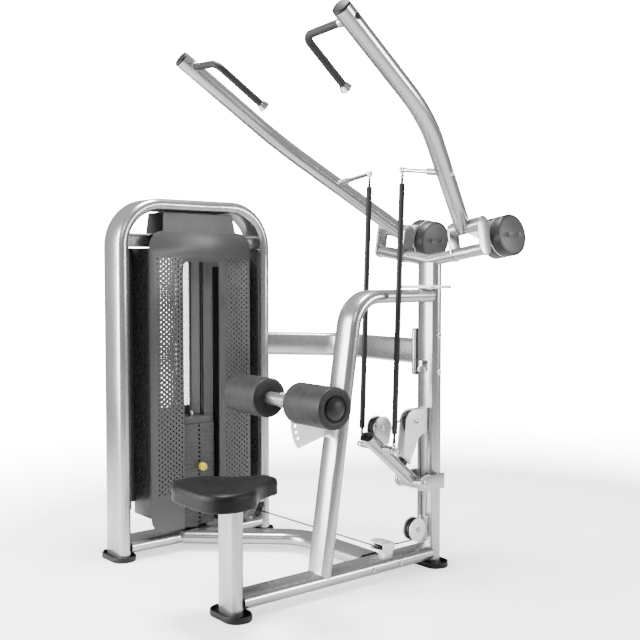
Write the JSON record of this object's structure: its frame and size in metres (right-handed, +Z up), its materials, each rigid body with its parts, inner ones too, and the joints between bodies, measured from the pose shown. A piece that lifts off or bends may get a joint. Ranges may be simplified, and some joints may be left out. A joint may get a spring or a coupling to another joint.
{
  "type": "lat pulldown machine",
  "caption": "Lat pulldown machine with a seat, thigh rollers, twin overhead swing arms, a rocker lever with tie rods, and a guarded selectorised weight stack.",
  "frame": {"origin": "on the floor under the middle of the rear upright, on the sole of the rear foot", "axes": "+X is the way the seated user faces, +Y towards the weight tower on the left of the user, +Z up"},
  "size_m": [1.4305, 1.4549, 2.0281],
  "materials": {
    "frame_paint": "light silver-grey satin powder coat",
    "plate_paint": "near-white satin powder coat",
    "shroud_paint": "dark grey fine-texture powder coat",
    "cover_plastic": "dark grey moulded cover",
    "black_rubber": "black moulded rubber",
    "grip_rubber": "black textured grip",
    "pad_foam": "black dense foam with a smooth skin",
    "upholstery": "black smooth vinyl upholstery",
    "cast_iron": "black-grey painted cast iron",
    "chrome": "polished chrome",
    "steel": "plated steel",
    "pulley_plastic": "black nylon",
    "cable_jacket": "black jacketed wire rope",
    "yellow_plastic": "yellow moulded knob"
  },
  "bodies": {
    "frame": {"base_rail": "frame_paint", "seat_post": "frame_paint", "rear_upright": "frame_paint", "front_upright": "frame_paint", "crossbar": "frame_paint", "tower_loop": "frame_paint", "tower_rail": "frame_paint", "upper_link_tube": "frame_paint", "floor_link_tube": "frame_paint", "collar_plate": "plate_paint", "upright_pulley_bracket": "plate_paint", "base_pulley_bracket": "plate_paint", "floor_pulley_housing": "plate_paint", "pad_bracket": "plate_paint", "seat_cushion": "upholstery", "foot_seat": "black_rubber", "foot_rear": "black_rubber", "foot_tower_front": "black_rubber", "foot_tower_rear": "black_rubber", "bumper": "black_rubber", "front_shroud": "shroud_paint", "rear_shroud": "shroud_paint", "pulley_cover": "cover_plastic", "guide_rod_1": "chrome", "guide_rod_2": "chrome", "stack_resting_plates": "cast_iron", "lever_shaft": "steel", "pivot_shaft_left": "steel", "pivot_shaft_right": "steel", "main_cable": "cable_jacket", "stack_cable": "cable_jacket"},
    "weight_stack": {"stack_lifted_plates": "cast_iron"},
    "selector": {"selector_pin": "yellow_plastic"},
    "rocker_lever": {"lever": "frame_paint", "lever_cable": "cable_jacket"},
    "lever_sheave": {"lever_pulley": "pulley_plastic"},
    "left_tie_rod": {"tie_rod_left": "steel"},
    "right_tie_rod": {"tie_rod_right": "steel"},
    "left_arm": {"arm_left": "frame_paint", "arm_cap_left": "black_rubber", "handle_left": "grip_rubber", "handle_cap_left": "chrome", "counterweight_left_outer": "cast_iron", "counterweight_left_inner": "cast_iron"},
    "right_arm": {"arm_right": "frame_paint", "arm_cap_right": "black_rubber", "handle_right": "grip_rubber", "handle_cap_right": "chrome", "counterweight_right_outer": "cast_iron", "counterweight_right_inner": "cast_iron"},
    "thigh_pad": {"pad_arm": "frame_paint"},
    "plunger": {"pad_plunger": "steel"},
    "left_roller": {"thigh_roller_left": "pad_foam"},
    "right_roller": {"thigh_roller_right": "pad_foam"},
    "top_pulley_1_wheel": {"top_pulley_1": "pulley_plastic"},
    "top_pulley_2_wheel": {"top_pulley_2": "pulley_plastic"},
    "tower_pulley_wheel": {"tower_pulley": "pulley_plastic"},
    "floor_pulley_wheel": {"floor_pulley": "pulley_plastic"},
    "base_pulley_wheel": {"base_pulley": "pulley_plastic"},
    "upright_pulley_wheel": {"upright_pulley": "pulley_plastic"}
  },
  "joints": [
    {"name": "stack_lift", "type": "slide", "parent": "frame", "child": "weight_stack", "axis": [0, 0, 1], "range_m": [0, 0.22], "deforming": ["stack_cable"]},
    {"name": "lever_swing", "type": "hinge", "parent": "frame", "child": "rocker_lever", "pos_m": [-0.095, 0, 0.352], "axis": [0, -1, 0], "range_deg": [0, 56.79]},
    {"name": "arm_left_swing", "type": "hinge", "parent": "frame", "child": "left_arm", "pos_m": [0, 0.2008, 1.36765], "axis": [0, -0.9886, -0.1503], "range_deg": [0, 44.01]},
    {"name": "arm_right_swing", "type": "hinge", "parent": "frame", "child": "right_arm", "pos_m": [0, -0.2008, 1.36765], "axis": [0, -0.9886, 0.1503], "range_deg": [0, 44.01]},
    {"name": "tie_rod_left_pivot", "type": "hinge", "parent": "rocker_lever", "child": "left_tie_rod", "pos_m": [-0.28501, 0.092, 0.512], "axis": [-0.025, 0.9993, 0.0286], "range_deg": [0, 54.8]},
    {"name": "tie_rod_right_pivot", "type": "hinge", "parent": "rocker_lever", "child": "right_tie_rod", "pos_m": [-0.28501, -0.092, 0.512], "axis": [0.025, 0.9993, -0.0286], "range_deg": [0, 54.8]},
    {"name": "lever_pulley_spin", "type": "hinge", "parent": "rocker_lever", "child": "lever_sheave", "pos_m": [-0.27697, 0, 0.58799], "axis": [0, 1, 0], "continuous": true},
    {"name": "selector_pin_pull", "type": "slide", "parent": "weight_stack", "child": "selector", "axis": [0, -1, 0], "range_m": [0, 0.07]},
    {"name": "pad_tilt", "type": "hinge", "parent": "frame", "child": "thigh_pad", "pos_m": [-0.545, 0, 0.65], "axis": [0, -1, 0], "range_deg": [-9.5, 28.5]},
    {"name": "pad_plunger_pull", "type": "slide", "parent": "thigh_pad", "child": "plunger", "axis": [0, -1, 0], "range_m": [0, 0.012], "stiffness_N_per_m": 500},
    {"name": "left_roller_spin", "type": "hinge", "parent": "thigh_pad", "child": "left_roller", "pos_m": [-0.741, 0.185, 0.734], "axis": [0, 1, 0], "continuous": true},
    {"name": "right_roller_spin", "type": "hinge", "parent": "thigh_pad", "child": "right_roller", "pos_m": [-0.741, -0.185, 0.734], "axis": [0, 1, 0], "continuous": true},
    {"name": "top_pulley_1_spin", "type": "hinge", "parent": "frame", "child": "top_pulley_1_wheel", "pos_m": [-0.55775, 0.866, 1.398], "axis": [0, 1, 0], "continuous": true},
    {"name": "top_pulley_2_spin", "type": "hinge", "parent": "frame", "child": "top_pulley_2_wheel", "pos_m": [-0.46275, 0.866, 1.398], "axis": [0, 1, 0], "continuous": true},
    {"name": "tower_pulley_spin", "type": "hinge", "parent": "frame", "child": "tower_pulley_wheel", "pos_m": [-0.291, 0.8, 0.156], "axis": [0.9937, 0, 0.1118], "continuous": true},
    {"name": "floor_pulley_spin", "type": "hinge", "parent": "frame", "child": "floor_pulley_wheel", "pos_m": [-0.239, 0.028, 0.113], "axis": [0, 0, 1], "continuous": true},
    {"name": "base_pulley_spin", "type": "hinge", "parent": "frame", "child": "base_pulley_wheel", "pos_m": [-0.081, 0, 0.156], "axis": [0, 1, 0], "continuous": true},
    {"name": "upright_pulley_spin", "type": "hinge", "parent": "frame", "child": "upright_pulley_wheel", "pos_m": [-0.097, 0, 0.594], "axis": [0, 1, 0], "continuous": true}
  ],
  "couplings": [
    {"joint": "lever_swing", "follows": "stack_lift", "rad_per_m": 4.505},
    {"joint": "arm_left_swing", "follows": "stack_lift", "rad_per_m": 3.4907},
    {"joint": "arm_right_swing", "follows": "stack_lift", "rad_per_m": 3.4907},
    {"joint": "tie_rod_left_pivot", "follows": "stack_lift", "rad_per_m": 4.3466},
    {"joint": "tie_rod_right_pivot", "follows": "stack_lift", "rad_per_m": 4.3466}
  ]
}
